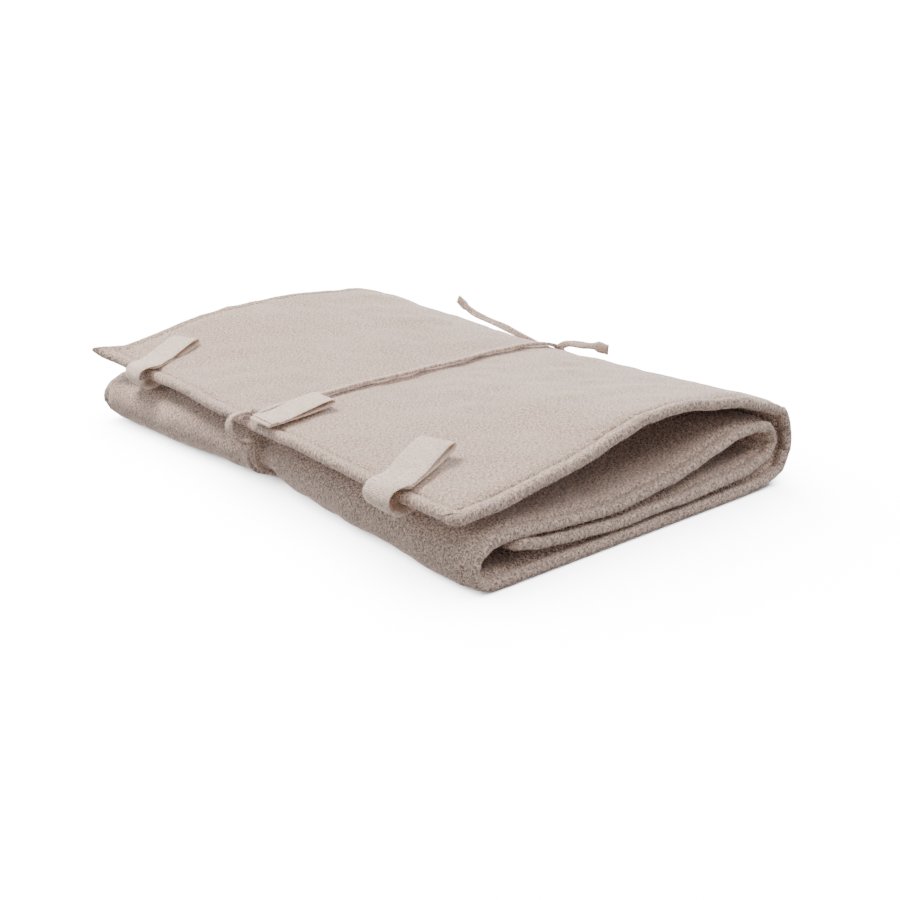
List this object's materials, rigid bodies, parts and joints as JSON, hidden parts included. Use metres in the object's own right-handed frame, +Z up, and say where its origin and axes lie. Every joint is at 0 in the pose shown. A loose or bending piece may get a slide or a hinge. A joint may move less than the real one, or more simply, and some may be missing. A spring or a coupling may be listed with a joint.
{
  "type": "changing pad",
  "caption": "Padded cloth changing pad, folded in layers and held shut by a cloth tie, with woven carrying loops on its front edge.",
  "frame": {"origin": "on the surface that the pad lies on, below the middle of the bottom panel", "axes": "+X towards the closed outer fold, +Y along the folds, +Z up"},
  "size_m": [0.3624, 0.5, 0.0936],
  "materials": {
    "outer_cloth": "plain-weave cotton and linen look, heathered greige",
    "inner_cloth": "plain-weave cotton, the same cloth on the inner side",
    "wadding": "soft polyester wadding",
    "tie_cloth": "folded and stitched strap of the outer cloth",
    "cotton_tape": "ecru twill-woven cotton tape"
  },
  "bodies": {
    "base": {"bottom_panel_hems": "outer_cloth", "bottom_panel_inner_cloth": "inner_cloth", "bottom_panel_outer_cloth": "outer_cloth", "bottom_panel_wadding": "wadding", "front_fold_hems": "outer_cloth", "front_fold_inner_cloth": "inner_cloth", "front_fold_outer_cloth": "outer_cloth", "front_fold_wadding": "wadding", "inner_fold_hems": "outer_cloth", "inner_fold_inner_cloth": "inner_cloth", "inner_fold_outer_cloth": "outer_cloth", "inner_fold_wadding": "wadding", "inner_panel_end_hem": "outer_cloth", "inner_panel_hems": "outer_cloth", "inner_panel_inner_cloth": "inner_cloth", "inner_panel_outer_cloth": "outer_cloth", "inner_panel_wadding": "wadding", "middle_panel_hems": "outer_cloth", "middle_panel_inner_cloth": "inner_cloth", "middle_panel_outer_cloth": "outer_cloth", "middle_panel_wadding": "wadding", "tie_front_drop": "tie_cloth", "tie_underside": "tie_cloth"},
    "far_loop": {"far_carry_loop": "cotton_tape"},
    "flap": {"far_keeper": "cotton_tape", "flap_front_hem": "outer_cloth", "flap_hems": "outer_cloth", "flap_inner_cloth": "inner_cloth", "flap_outer_cloth": "outer_cloth", "flap_wadding": "wadding", "near_keeper": "cotton_tape", "tie_front_ring": "tie_cloth", "tie_top": "tie_cloth", "upper_fold_roll": "outer_cloth"},
    "spine": {"lower_fold_roll": "outer_cloth", "spine_hems": "outer_cloth", "spine_inner_cloth": "inner_cloth", "spine_outer_cloth": "outer_cloth", "spine_wadding": "wadding", "tie_back": "tie_cloth", "tie_knot": "tie_cloth", "tie_tail_long": "tie_cloth", "tie_tail_short": "tie_cloth"},
    "middle_loop": {"middle_carry_loop": "cotton_tape"},
    "near_loop": {"near_carry_loop": "cotton_tape"}
  },
  "joints": [
    {"name": "outer_fold_lower", "type": "hinge", "parent": "base", "child": "spine", "pos_m": [0.165, 0, 0.0085], "axis": [0, 1, 0], "range_deg": [0, 75]},
    {"name": "outer_fold_upper", "type": "hinge", "parent": "spine", "child": "flap", "pos_m": [0.157, 0, 0.06], "axis": [0, 1, 0], "range_deg": [0, 95]},
    {"name": "near_loop_swing", "type": "hinge", "parent": "flap", "child": "near_loop", "pos_m": [-0.157, -0.181, 0.06506], "axis": [0.342, -0.9397, 0], "range_deg": [0, 120]},
    {"name": "middle_loop_swing", "type": "hinge", "parent": "flap", "child": "middle_loop", "pos_m": [-0.157, -0.022, 0.06472], "axis": [0, -1, 0], "range_deg": [0, 120]},
    {"name": "far_loop_swing", "type": "hinge", "parent": "flap", "child": "far_loop", "pos_m": [-0.157, 0.187, 0.06507], "axis": [0.3907, -0.9205, 0], "range_deg": [0, 120]}
  ],
  "couplings": [
    {"joint": "outer_fold_upper", "follows": "outer_fold_lower", "ratio": 1.2667}
  ]
}
